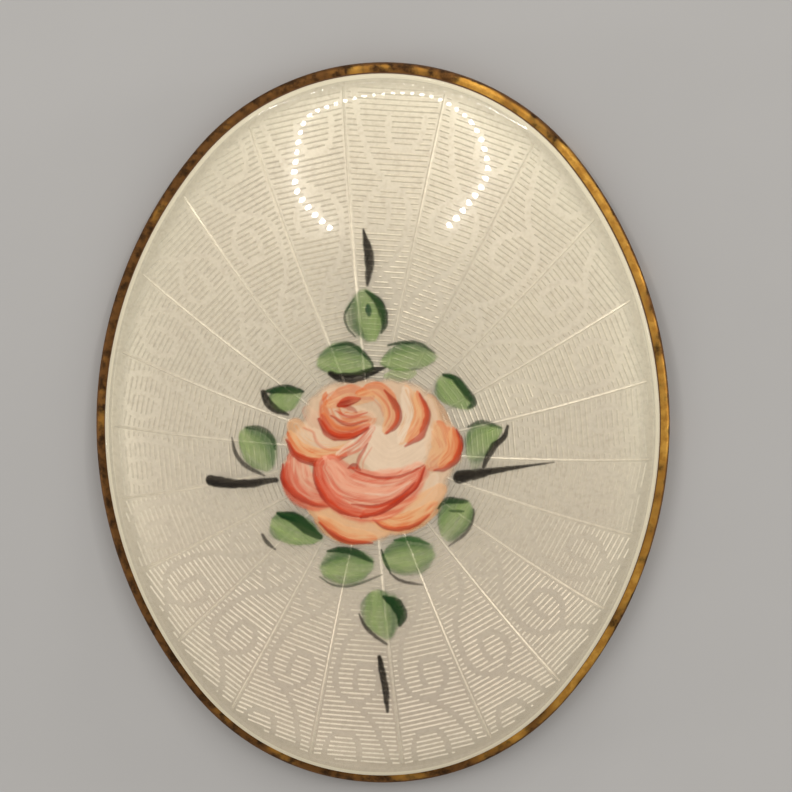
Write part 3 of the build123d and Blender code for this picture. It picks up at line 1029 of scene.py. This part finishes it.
# %% Rose
ROSE_GROUND = (
    (-0.2, 3.0), (1.5, 2.95), (2.6, 2.4), (3.3, 1.1), (4.1, 0.5), (4.2, -0.8), (3.6, -1.9), (3.4, -2.9),
    (2.5, -4.1), (0.9, -4.85), (-0.6, -5.4), (-2.1, -5.0), (-3.3, -3.9), (-4.5, -2.7), (-4.85, -1.5),
    (-4.5, -0.8), (-4.7, 0.0), (-3.8, 0.8), (-3.4, 2.0), (-2.2, 2.8),
)
ROSE_STROKES = (
    # Glow in the middle
    (("light", "light"), 0.8, (1.2, 2.6, 1.2), ((-0.5, 0.3), (0.7, -0.7), (2.3, 0.3))),
    (("peach", "cream"), 0.5, (0.8, 1.4, 0.8), ((2.6, 2.0), (3.0, 0.8), (2.8, -0.6))),
    (("pink", "cream"), 0.4, (0.6, 1.2, 0.6), ((-3.6, 1.4), (-2.9, 0.3), (-2.0, -0.4))),
    (("light", "cream"), 0.6, (0.5, 1.2, 0.5), ((2.9, -1.9), (2.3, -2.9), (1.5, -3.5))),
    # Bottom petals
    (("peach", "peach"), 0.75, (0.9, 1.8, 0.9), ((-3.1, -3.6), (-1.7, -4.5), (0.3, -4.6))),
    (("peach", "orange"), 0.75, (0.3, 0.9, 0.3), ((-2.9, -4.1), (-1.6, -4.95), (-0.1, -5.05))),
    (("red", "deep_red"), 0.9, (0.1, 0.3, 0.1), ((-2.95, -4.35), (-2.2, -4.95), (-1.4, -5.3), (-0.2, -5.35))),
    (("peach", "peach"), 0.8, (0.7, 1.6, 0.7), ((-0.4, -3.8), (1.0, -4.1), (2.3, -3.5), (3.2, -2.5))),
    (("peach", "orange"), 0.8, (0.3, 0.95, 0.3), ((-0.1, -4.0), (1.1, -4.3), (2.2, -3.85), (2.95, -3.2))),
    (("red", "deep_red"), 0.85, (0.08, 0.24, 0.08),
     ((-0.2, -4.1), (0.35, -4.5), (1.1, -4.6), (2.0, -4.35), (2.7, -3.8))),
    (("orange", "orange"), 0.4, (0.05, 0.14, 0.05), ((0.2, -3.95), (1.2, -4.0), (2.2, -3.5))),
    # Lower left petal
    (("pink", "salmon"), 0.85, (0.9, 1.9, 1.0), ((-4.2, -1.1), (-4.05, -2.2), (-3.3, -2.9), (-2.3, -3.0))),
    (("salmon", "red"), 0.6, (0.3, 0.8, 0.3), ((-4.6, -1.4), (-4.45, -2.3), (-3.7, -3.0), (-2.7, -3.25))),
    (("red", "deep_red"), 0.85, (0.12, 0.34, 0.12),
     ((-4.85, -1.4), (-4.8, -2.2), (-4.2, -2.9), (-3.3, -3.38), (-2.5, -3.48))),
    # Upper left petal
    (("cream", "peach"), 0.8, (0.9, 1.5, 0.6), ((-4.2, 0.6), (-3.6, -0.1), (-2.6, -0.4), (-1.5, -0.2))),
    (("peach", "orange"), 0.85, (0.4, 0.85, 0.3), ((-4.5, 0.2), (-3.9, -0.6), (-2.9, -0.9), (-1.7, -0.65))),
    (("red", "deep_red"), 0.95, (0.12, 0.42, 0.14),
     ((-4.65, -0.1), (-4.2, -0.85), (-3.2, -1.22), (-2.2, -1.08), (-1.6, -0.85))),
    (("salmon", "red"), 0.5, (0.08, 0.16, 0.05),
     ((-3.8, 0.55), (-3.3, 0.3), (-3.1, -0.2), (-2.5, -0.55), (-1.6, -0.5))),
    (("light", "salmon"), 0.75, (0.3, 0.75, 0.3), ((-2.0, -0.8), (-1.0, -0.2), (-0.3, 0.6))),
    (("salmon", "red"), 0.5, (0.06, 0.16, 0.06), ((-1.9, -0.7), (-0.95, -0.05), (-0.45, 0.65))),
    # Large petal
    (("pink", "salmon"), 0.95, (1.3, 2.7, 1.0),
     ((-2.5, -1.5), (-1.8, -2.6), (-0.2, -2.95), (1.3, -2.3), (2.1, -1.6))),
    (("salmon", "pink"), 0.7, (0.8, 1.5, 0.7), ((-2.3, -1.2), (-1.3, -2.1), (0.4, -2.4), (1.9, -1.8))),
    (("pink", "light"), 0.5, (0.1, 0.3, 0.1), ((-0.6, -2.75), (0.7, -2.7), (1.7, -2.1))),
    (("pink", "light"), 0.4, (0.1, 0.24, 0.1), ((-1.2, -2.1), (0.1, -2.3), (1.3, -2.05))),
    (("salmon", "red"), 0.75, (0.2, 0.6, 0.2),
     ((-3.1, -1.3), (-2.9, -2.2), (-2.3, -3.0), (-1.6, -3.5), (-0.7, -3.75))),
    (("salmon", "red"), 0.7, (0.2, 0.45, 0.15),
     ((-0.7, -3.75), (0.3, -3.5), (1.2, -2.95), (2.0, -2.2), (2.35, -1.4))),
    (("red", "deep_red"), 0.9, (0.08, 0.3, 0.1),
     ((-3.25, -1.3), (-3.15, -2.2), (-2.6, -3.15), (-1.7, -3.8), (-0.8, -4.0))),
    (("red", "deep_red"), 0.9, (0.2, 0.26, 0.08),
     ((-0.8, -4.0), (0.25, -3.7), (1.2, -3.05), (2.0, -2.35), (2.45, -1.3))),
    (("red", "salmon"), 0.6, (0.05, 0.14, 0.05), ((-2.9, -1.5), (-2.7, -2.3), (-2.1, -3.1), (-1.3, -3.5))),
    (("deep_red", "red"), 0.85, (0.06, 0.22, 0.08),
     ((-1.3, -3.35), (-0.2, -3.45), (0.7, -3.2), (1.4, -2.75), (1.95, -2.15))),
    (("red", "salmon"), 0.5, (0.04, 0.1, 0.04), ((-1.9, -2.9), (-0.8, -3.15), (0.5, -2.95), (1.5, -2.35))),
    (("deep_red", "red"), 0.85, (0.08, 0.17, 0.08),
     ((-1.3, -1.5), (-0.95, -1.7), (0.0, -1.95), (1.0, -1.9), (1.8, -1.6), (2.4, -1.25))),
    (("red", "salmon"), 0.5, (0.04, 0.1, 0.04), ((-1.4, -1.9), (-0.4, -2.2), (0.8, -2.2), (1.9, -1.8))),
    (("deep_red", "red"), 0.85, (0.06, 0.32, 0.06), ((-1.5, -1.5), (-1.15, -1.38), (-0.85, -1.62))),
    (("red", "deep_red"), 0.75, (0.06, 0.18, 0.1), ((-0.5, -0.2), (-0.95, -1.0), (-1.05, -1.5))),
    (("salmon", "salmon"), 0.5, (0.05, 0.1, 0.05), ((-0.3, -0.4), (-0.7, -1.1), (-0.75, -1.6))),
    # Far right petal
    (("orange", "peach"), 0.75, (0.7, 1.6, 0.7), ((3.1, 0.7), (3.5, -0.4), (2.8, -1.2))),
    (("orange", "peach"), 0.8, (0.3, 0.8, 0.35), ((3.8, 0.6), (3.85, -0.4), (3.2, -1.2))),
    (("deep_red", "red"), 0.9, (0.1, 0.34, 0.12),
     ((4.0, 0.6), (4.22, 0.0), (4.05, -0.85), (3.5, -1.4), (2.9, -1.52))),
    (("orange", "peach"), 0.5, (0.05, 0.14, 0.05), ((3.4, 0.5), (3.6, -0.3), (3.2, -1.0))),
    # Upper right petal
    (("peach", "light"), 0.8, (0.5, 1.3, 0.5), ((1.4, 2.6), (1.8, 1.3), (1.2, 0.0))),
    (("orange", "peach"), 0.85, (0.3, 0.8, 0.3), ((1.95, 2.4), (2.2, 1.2), (1.55, 0.0))),
    (("deep_red", "red"), 0.9, (0.1, 0.36, 0.12),
     ((2.1, 2.4), (2.48, 1.6), (2.5, 1.1), (2.2, 0.25), (1.7, -0.1), (1.4, -0.3))),
    (("orange", "orange"), 0.4, (0.04, 0.12, 0.04), ((1.6, 2.4), (1.9, 1.4), (1.5, 0.4))),
    # Bud
    (("cream", "orange"), 0.8, (0.8, 1.9, 0.8), ((-2.5, 2.1), (-1.9, 1.0), (-0.5, 1.1))),
    (("orange", "peach"), 0.75, (0.5, 1.1, 0.5), ((-2.5, 1.8), (-1.5, 2.25), (-0.4, 2.2))),
    (("orange", "peach"), 0.85, (0.3, 0.95, 0.4),
     ((-1.0, 2.35), (-0.1, 2.6), (0.5, 2.0), (0.7, 1.2), (0.4, 0.5))),
    (("deep_red", "red"), 0.9, (0.1, 0.38, 0.14),
     ((0.3, 2.55), (0.85, 1.85), (1.06, 1.25), (0.85, 0.7), (0.45, 0.35))),
    (("red", "orange"), 0.55, (0.05, 0.14, 0.05), ((-0.3, 2.5), (0.35, 1.95), (0.55, 1.3), (0.35, 0.75))),
    (("red", "orange"), 0.45, (0.04, 0.1, 0.04), ((-0.4, 2.2), (0.1, 1.7), (0.25, 1.2))),
    (("orange", "red"), 0.7, (0.3, 0.7, 0.25), ((-2.8, 1.2), (-2.2, 0.45), (-1.3, 0.4), (-0.5, 0.75))),
    (("red", "deep_red"), 0.95, (0.2, 0.42, 0.14),
     ((-3.0, 1.0), (-2.6, 0.35), (-2.0, 0.08), (-1.2, 0.2), (-0.5, 0.6))),
    (("red", "deep_red"), 0.8, (0.08, 0.2, 0.06), ((-2.4, 1.2), (-1.5, 0.75), (-0.5, 1.0))),
    (("red", "red"), 0.75, (0.06, 0.16, 0.06), ((-2.2, 1.45), (-1.4, 1.15), (-0.55, 1.4))),
    (("red", "deep_red"), 0.95, (0.3, 0.5, 0.15), ((-2.0, 1.75), (-1.5, 1.95), (-0.95, 2.1))),
    (("deep_red", "red"), 0.7, (0.12, 0.26, 0.1), ((-1.9, 1.7), (-1.4, 1.6), (-1.1, 1.4))),
    (("orange", "red"), 0.5, (0.05, 0.14, 0.05), ((-2.95, 1.1), (-2.9, 1.9), (-2.3, 2.45))),
)
ROSE_LOW, ROSE_HIGH = (-5.2, -5.8), (4.6, 3.5)


def paint_rose():
    layer = Layer(ROSE_LOW, ROSE_HIGH)
    layer.wash("cream", 0.93, ROSE_GROUND, soft=0.45, mottle=0.1)
    for number, (paints, strength, widths, points) in enumerate(ROSE_STROKES):
        layer.stroke(paints, strength, widths, points, seed=number + 1)
    return layer.mesh("rose_petals")


rose = make_piece("rose_petals", paint_rose(), rose_paint)
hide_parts("rose")
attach(rose, "root")
print("rose faces:", len(rose.data.polygons))

# %% [markdown]
# ## Leaves
#
# A leaf is one wet patch of green with a few darker pulls of the brush. Its row holds the outline of
# the patch, the way that the brush was pulled over it, and the dark strokes on top. The green thins
# out away from the first dark stroke, and each pull is laid beside the middle of the leaf.

# %% Leaves
LEAVES = {
    "top": (
        ((-0.35, 5.0), (0.1, 5.7), (0.3, 6.4), (0.0, 7.1),
         (-0.75, 7.75), (-1.3, 7.3), (-1.7, 6.5), (-1.4, 5.6)),
        ((-0.4, 5.1), (-0.9, 7.6)),
        (
            ("leaf_dark", 0.9, (0.1, 0.42, 0.12),
             ((-0.7, 7.6), (-0.1, 7.1), (0.18, 6.5), (0.25, 5.9), (0.1, 5.5))),
            ("blue_green", 0.85, (0.2, 0.36, 0.2), ((-0.6, 6.85), (-0.5, 6.4))),
            ("leaf_dark", 0.7, (0.05, 0.12, 0.05), ((-1.3, 7.2), (-1.75, 6.4), (-1.6, 5.7), (-1.2, 5.25))),
        ),
    ),
    "upper_left": (
        ((-0.3, 3.5), (-0.5, 4.1), (-1.0, 4.7), (-1.8, 4.95),
         (-2.6, 4.65), (-3.15, 4.0), (-2.9, 3.5), (-1.6, 3.3)),
        ((-3.0, 4.0), (-0.4, 3.9)),
        (
            ("leaf_dark", 0.75, (0.08, 0.22, 0.08),
             ((-2.5, 4.7), (-1.6, 4.92), (-1.0, 4.6), (-0.4, 4.0), (-0.3, 3.6))),
            ("ink", 0.95, (0.3, 0.54, 0.05),
             ((-2.45, 3.35), (-2.0, 3.18), (-1.3, 3.15), (-0.6, 3.4), (0.4, 3.75))),
        ),
    ),
    "upper_right": (
        ((0.1, 3.95), (0.5, 4.6), (1.2, 4.95), (2.1, 4.95),
         (2.85, 4.4), (2.7, 3.95), (1.6, 3.65), (0.7, 3.6)),
        ((0.2, 4.0), (2.8, 4.4)),
        (
            ("leaf_dark", 0.8, (0.08, 0.18, 0.06), ((0.45, 4.85), (1.2, 5.0), (2.0, 4.98), (2.85, 4.5))),
            ("leaf_shade", 0.5, (0.06, 0.12, 0.06), ((0.1, 3.9), (1.0, 3.6), (2.2, 3.7))),
            ("leaf_light", 0.4, (0.3, 0.7, 0.3), ((0.4, 3.3), (1.1, 3.35), (1.8, 3.45))),
        ),
    ),
    "north_west": (
        ((-3.95, 2.4), (-4.9, 2.6), (-5.5, 2.3), (-5.5, 1.7), (-5.0, 1.35), (-4.3, 1.5)),
        ((-5.5, 1.8), (-4.0, 2.3)),
        (
            ("leaf_dark", 0.9, (0.14, 0.46, 0.14), ((-5.7, 2.35), (-4.8, 2.5), (-3.85, 2.4))),
            ("ink", 0.9, (0.24, 0.46, 0.1), ((-5.9, 2.3), (-5.65, 1.8), (-5.25, 1.45), (-4.6, 1.2))),
        ),
    ),
    "west": (
        ((-5.6, -1.75), (-5.2, -1.0), (-5.3, -0.1), (-6.2, 0.45), (-7.05, 0.3), (-7.1, -0.5), (-6.7, -1.4)),
        ((-6.9, 0.2), (-5.6, -1.6)),
        (
            ("leaf_dark", 0.65, (0.1, 0.3, 0.1), ((-6.8, 0.45), (-6.0, 0.4), (-5.4, -0.05), (-5.25, -0.6))),
            ("ink", 0.7, (0.05, 0.24, 0.08), ((-7.5, -0.1), (-7.3, -0.9), (-6.8, -1.5), (-5.8, -2.0))),
        ),
    ),
    "south_west": (
        ((-5.2, -4.0), (-4.2, -3.95), (-3.3, -4.4), (-2.75, -5.1), (-3.4, -5.5), (-4.6, -5.5), (-5.5, -5.0)),
        ((-5.4, -4.4), (-3.0, -5.2)),
        (
            ("leaf_dark", 0.95, (0.15, 0.66, 0.25),
             ((-5.1, -3.95), (-4.2, -4.2), (-3.6, -4.65), (-2.9, -5.1))),
            ("ink", 0.7, (0.12, 0.22, 0.05), ((-5.9, -5.1), (-5.65, -5.5), (-5.2, -5.85))),
        ),
    ),
    "south_left": (
        ((-0.15, -6.2), (-0.8, -5.75), (-1.8, -5.65), (-2.6, -6.0),
         (-2.85, -6.9), (-2.2, -7.5), (-1.1, -7.5), (-0.3, -6.9)),
        ((-2.7, -6.8), (-0.3, -6.5)),
        (
            ("leaf_dark", 0.85, (0.1, 0.38, 0.1),
             ((-2.5, -5.85), (-1.7, -5.75), (-0.9, -5.95), (-0.2, -6.35))),
            ("leaf_dark", 0.6, (0.05, 0.13, 0.05), ((-2.9, -7.2), (-2.2, -7.6), (-1.2, -7.6), (0.3, -7.0))),
        ),
    ),
    "south_right": (
        ((0.3, -5.9), (1.0, -5.2), (2.0, -5.05), (2.9, -5.5),
         (2.9, -6.3), (2.2, -6.95), (1.1, -6.95), (0.5, -6.6)),
        ((0.4, -6.2), (2.8, -5.8)),
        (
            ("leaf_shade", 0.7, (0.08, 0.26, 0.08), ((0.9, -5.2), (1.8, -5.1), (2.7, -5.35))),
            ("leaf_dark", 0.85, (0.05, 0.16, 0.05), ((0.25, -5.7), (0.45, -6.3), (0.75, -6.9))),
            ("ink", 0.7, (0.05, 0.15, 0.05), ((0.7, -6.9), (1.3, -7.3), (2.4, -7.5))),
        ),
    ),
    "bottom": (
        ((0.0, -7.8), (0.9, -8.1), (1.4, -8.9), (1.15, -9.8), (0.7, -10.45),
         (0.0, -10.1), (-0.6, -9.5), (-0.75, -8.5)),
        ((0.0, -7.9), (0.5, -10.4)),
        (
            ("leaf_dark", 0.95, (0.15, 0.62, 0.2), ((0.4, -8.15), (1.0, -8.5), (1.35, -9.1), (1.25, -9.65))),
            ("ink", 0.75, (0.06, 0.2, 0.1), ((-0.85, -9.1), (-0.5, -9.8), (0.1, -10.35), (0.6, -10.7))),
        ),
    ),
    "south_east": (
        ((3.1, -3.7), (3.4, -3.1), (4.5, -3.05), (4.9, -3.5), (4.8, -4.3), (3.9, -5.2), (3.3, -4.9)),
        ((4.7, -3.3), (3.5, -5.0)),
        (
            ("leaf_dark", 0.8, (0.12, 0.36, 0.15), ((3.05, -3.5), (3.5, -3.1), (4.6, -3.1))),
            ("leaf_dark", 0.75, (0.06, 0.18, 0.06), ((3.7, -3.6), (4.45, -3.62))),
            ("ink", 0.6, (0.05, 0.16, 0.05), ((4.95, -3.5), (4.9, -4.1), (4.5, -4.8), (3.7, -5.45))),
        ),
    ),
    "east": (
        ((4.5, 0.3), (4.9, 0.85), (5.5, 0.95), (6.3, 0.65),
         (6.0, 0.0), (5.5, -0.8), (5.0, -1.4), (4.6, -0.9)),
        ((6.2, 0.6), (4.7, -0.8)),
        (
            ("leaf_dark", 0.6, (0.1, 0.22, 0.1), ((4.6, 0.75), (5.3, 1.0), (6.3, 0.7))),
            ("ink", 0.9, (0.12, 0.36, 0.18),
             ((6.6, 0.8), (6.45, 0.25), (5.95, -0.2), (5.6, -0.8), (5.4, -1.3))),
        ),
    ),
    "north_east": (
        ((2.9, 2.3), (3.0, 3.1), (3.5, 3.45), (4.3, 3.0), (4.85, 2.1), (4.6, 1.7), (3.8, 1.75)),
        ((3.2, 3.2), (4.6, 1.8)),
        (
            ("leaf_dark", 0.9, (0.12, 0.42, 0.16),
             ((3.3, 3.4), (3.9, 3.2), (4.4, 2.6), (4.85, 2.0), (4.6, 1.75))),
        ),
    ),
}
LEAF_FADE = 1.9
LEAF_PULLS = (
    ("leaf_light", 0.65, -0.5), ("leaf_shade", 0.55, 0.62),
    ("leaf_light", 0.5, 0.15), ("leaf_shade", 0.35, -0.9),
)
PATCH_MARGIN = 0.4


def paint_patch(points):
    """An empty layer that holds all these points."""
    low = np.min(points, 0) - PATCH_MARGIN
    high = np.max(points, 0) + PATCH_MARGIN
    return Layer(low, high)


def paint_leaf(name, outline, pull, strokes, seed):
    """The wet patch, the pulls of the brush through it, and the dark strokes on top."""
    layer = paint_patch(list(outline) + [point for stroke in strokes for point in stroke[3]])
    layer.wash("leaf", 0.5, outline, soft=0.26, mottle=0.6, seed=seed)
    start, stop = (np.array(point) for point in pull)
    sideways = np.array([start[1] - stop[1], stop[0] - start[0]]) / np.hypot(*(stop - start))
    patch = inside(closed_path(outline), layer.x, layer.y)
    away = nearest_on(smooth_path(strokes[0][3]), layer.x, layer.y)[0]
    layer.cover *= 0.64 + 0.56 * ease(1 - away / LEAF_FADE)
    under = layer.cover.copy()
    for number, (paint, strength, shift) in enumerate(LEAF_PULLS):
        bow = sideways * shift
        points = (start + bow * 0.4, (start + stop) / 2 + bow, stop + bow * 0.4)
        pull_seed = seed * 5 + number
        layer.stroke((paint, paint), strength, (0.2, 0.7, 0.2), points, pull_seed, soft=0.3, dry=0.9)
    layer.cover = np.where(patch > 0, layer.cover, under)
    for number, (paint, strength, widths, points) in enumerate(strokes):
        second = "worn_ink" if paint == "ink" else "leaf_shade"
        narrow = [width * 0.6 for width in widths]
        layer.stroke((paint, paint), strength, widths, points, seed * 7 + number)
        layer.stroke((second, paint), strength * 0.4, narrow, points, seed * 9 + number, dry=1.0)
    return layer.mesh(name)


for number, (name, (outline, pull, strokes)) in enumerate(LEAVES.items()):
    mesh = paint_leaf("painted_leaf_" + name, outline, pull, strokes, number + 1)
    piece = make_piece("painted_leaf_" + name, mesh, leaf_paint)
    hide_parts("leaf_" + name)
    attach(piece, "root")
print("leaves:", len(LEAVES))

# %% [markdown]
# ## Four dark dashes
#
# One dark stroke points outwards on each side of the spray, with thin worn ink down its middle. A row
# holds its widths at the start, middle and end, and the points that it passes.

# %% Dark dashes
DASHES = {
    "top": ((0.06, 0.45, 0.1), ((-0.88, 10.7), (-0.64, 9.7), (-0.55, 8.9), (-0.62, 7.9))),
    "left": ((0.62, 0.44, 0.26), ((-8.6, -2.4), (-7.8, -2.5), (-6.6, -2.45), (-5.2, -2.2))),
    "right": ((0.66, 0.26, 0.05), ((4.2, -1.85), (5.2, -1.65), (7.0, -1.35), (9.0, -1.1))),
    "bottom": ((0.2, 0.34, 0.14), ((0.2, -11.4), (0.42, -12.6), (0.55, -13.6), (0.62, -14.5))),
}


FIRST_DASH_SEED = 50


def paint_dash(name, widths, points, seed):
    layer = paint_patch(points)
    narrow = [width * 0.7 for width in widths]
    layer.stroke(("ink", "ink"), 0.93, widths, points, seed, soft=0.09, dry=0.3)
    layer.stroke(("worn_ink", "ink"), 0.5, narrow, points, seed + 2, dry=1.0)
    return layer.mesh(name)


for number, (name, (widths, points)) in enumerate(DASHES.items()):
    mesh = paint_dash("painted_dash_" + name, widths, points, FIRST_DASH_SEED + number)
    piece = make_piece("painted_dash_" + name, mesh, dark_paint)
    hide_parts("dash_" + name)
    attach(piece, "root")
print("dashes:", len(DASHES))

# %% [markdown]
# ## The pin
#
# The hinge, stem and catch lie hidden in the hollow back and are already right as a solid part, so
# it stays and only gets its metal.

# %% Pin
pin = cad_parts["pin_back"]
pin.data.materials.clear()
pin.data.materials.append(pin_brass)
print("pin faces:", len(pin.data.polygons))

# %% [markdown]
# ## Camera, floor and lights
#
# The picture was taken from almost straight above with a long lens. The lens, the distance and the
# tilt come from fitting a pinhole camera to the oval and its rays.

# %% Camera
EYE = Vector((7.91, 23.59, 159.17)) * MM
AIM = Vector((0.72, 1.72, 1.1)) * MM
ROLL = math.radians(-0.76)
FOCAL_PIXELS = 3062.8
PICTURE_PIXELS = 792
SENSOR = 36


def aim_camera():
    camera = bpy.data.objects.new("camera", bpy.data.cameras.new("camera"))
    bpy.context.scene.collection.objects.link(camera)
    back = (EYE - AIM).normalized()
    right = Vector((math.sin(ROLL), math.cos(ROLL), 0)).cross(back).normalized()
    turned = Matrix((right, back.cross(right), back)).transposed()
    camera.matrix_world = Matrix.Translation(EYE) @ turned.to_4x4()
    camera.data.sensor_width = SENSOR
    camera.data.lens = SENSOR * FOCAL_PIXELS / PICTURE_PIXELS
    camera.data.clip_start = 0.01
    camera.data.clip_end = 5
    return camera


bpy.context.scene.camera = aim_camera()
bpy.context.scene.view_settings.view_transform = "Standard"
bpy.context.scene.cycles.max_bounces = 5
bpy.context.scene.cycles.diffuse_bounces = 2
print("lens:", round(bpy.context.scene.camera.data.lens, 1))


# %% Floor
def floor_material():
    material, bench, shader = new_material("floor", Roughness=0.7)
    mottle = noise(bench, object_mm(bench), 0.05, 4.0, 0.6)
    drive(bench, shader, Base_Color=bench.blend(mottle, srgb(170, 171, 174), srgb(178, 179, 182)))
    return material


FLOOR_HALF = 0.6
floor_mesh = bpy.data.meshes.new("floor")
floor_corners = [(x * FLOOR_HALF, y * FLOOR_HALF, 0) for x, y in ((-1, -1), (1, -1), (1, 1), (-1, 1))]
floor_mesh.from_pydata(floor_corners, [], [(0, 1, 2, 3)])
floor = make_piece("floor", floor_mesh, floor_material())
print("floor:", 2 * FLOOR_HALF, "m wide")

# %% [markdown]
# The glass mirrors an arch of small round lamps, so the arch was charted where it shows on the glass.
# Each lamp is hung in the direction in which the dome mirrors the camera's line of sight, and the
# ones in the middle of the arch are smaller and weaker. Four more lamps stand low round the brooch
# and graze it, which makes the rays and the lines stand out. The world gives soft light all round.

# %% Lamps
LAMP_ARCH = (
    (-2.6, 10.75), (-3.7, 11.7), (-4.38, 12.7), (-4.45, 14.1), (-4.05, 16.05), (-2.8, 16.8), (-0.95, 17.33),
    (1.2, 17.5), (3.0, 17.13), (4.55, 15.95), (5.3, 14.2), (5.15, 13.1), (4.3, 11.9), (3.47, 10.95),
)
LAMPS = 44
LAMP_DISTANCE = 0.35
LAMP_WIDTH = 0.009
LAMP_POWER = 0.021
LAMP_DIP = 0.5
WARM_WHITE = (1.0, 0.95, 0.87)
WORLD_STRENGTH = 0.6
LOW_LAMPS = {
    "low_back": ((0.1, 0.6, 0.07), 1.0, 0.12),
    "low_front": ((-0.1, -0.6, 0.06), 0.25, 0.1),
    "low_left": ((-0.6, -0.1, 0.07), 0.8, 0.12),
    "low_right": ((0.6, 0.1, 0.07), 1.0, 0.12),
}


def area_lamp(name, place, target, power, width):
    lamp = bpy.data.lights.new(name, "AREA")
    lamp.shape = "DISK"
    lamp.size = width
    lamp.energy = power
    lamp.color = WARM_WHITE
    holder = bpy.data.objects.new(name, lamp)
    bpy.context.scene.collection.objects.link(holder)
    holder.location = place
    holder.rotation_euler = (Vector(target) - Vector(place)).to_track_quat("-Z", "Y").to_euler()


def mirrored(x, y, distance):
    """A place that the camera sees mirrored at this point of the glass, and that point."""
    along, side_x, side_y = (float(part) for part in oval_place(x, y))
    run = max(0, along - crown_flat)
    rise = math.sqrt(front_dome ** 2 - run ** 2)
    normal = Vector((side_x * run, side_y * run, rise)) / front_dome
    point = Vector((x, y, glass_crown - front_dome + rise)) * MM
    sight = (EYE - point).normalized()
    return point + (2 * sight.dot(normal) * normal - sight) * distance, point


def evenly(path, count):
    """Points at even spaces along a path."""
    passed = np.concatenate([[0], np.cumsum(np.hypot(*np.diff(path, axis=0).T))])
    stations = np.linspace(0, passed[-1], count)
    return np.stack([np.interp(stations, passed, path[:, axis]) for axis in (0, 1)], 1)


for number, (x, y) in enumerate(evenly(smooth_path(LAMP_ARCH), LAMPS)):
    place, point = mirrored(x, y, LAMP_DISTANCE)
    share = 1 - LAMP_DIP * math.sin(math.pi * number / (LAMPS - 1)) ** 4
    area_lamp(f"lamp_{number + 1}", place, point, LAMP_POWER * share ** 3, LAMP_WIDTH * share)
for name, (place, power, width) in LOW_LAMPS.items():
    area_lamp(name, place, (0, 0, 0), power, width)

world = bpy.data.worlds.new("studio")
world.use_nodes = True
background = world.node_tree.nodes["Background"]
background.inputs["Color"].default_value = WARM_WHITE + (1,)
background.inputs["Strength"].default_value = WORLD_STRENGTH
bpy.context.scene.world = world
print("lamps:", LAMPS + len(LOW_LAMPS))
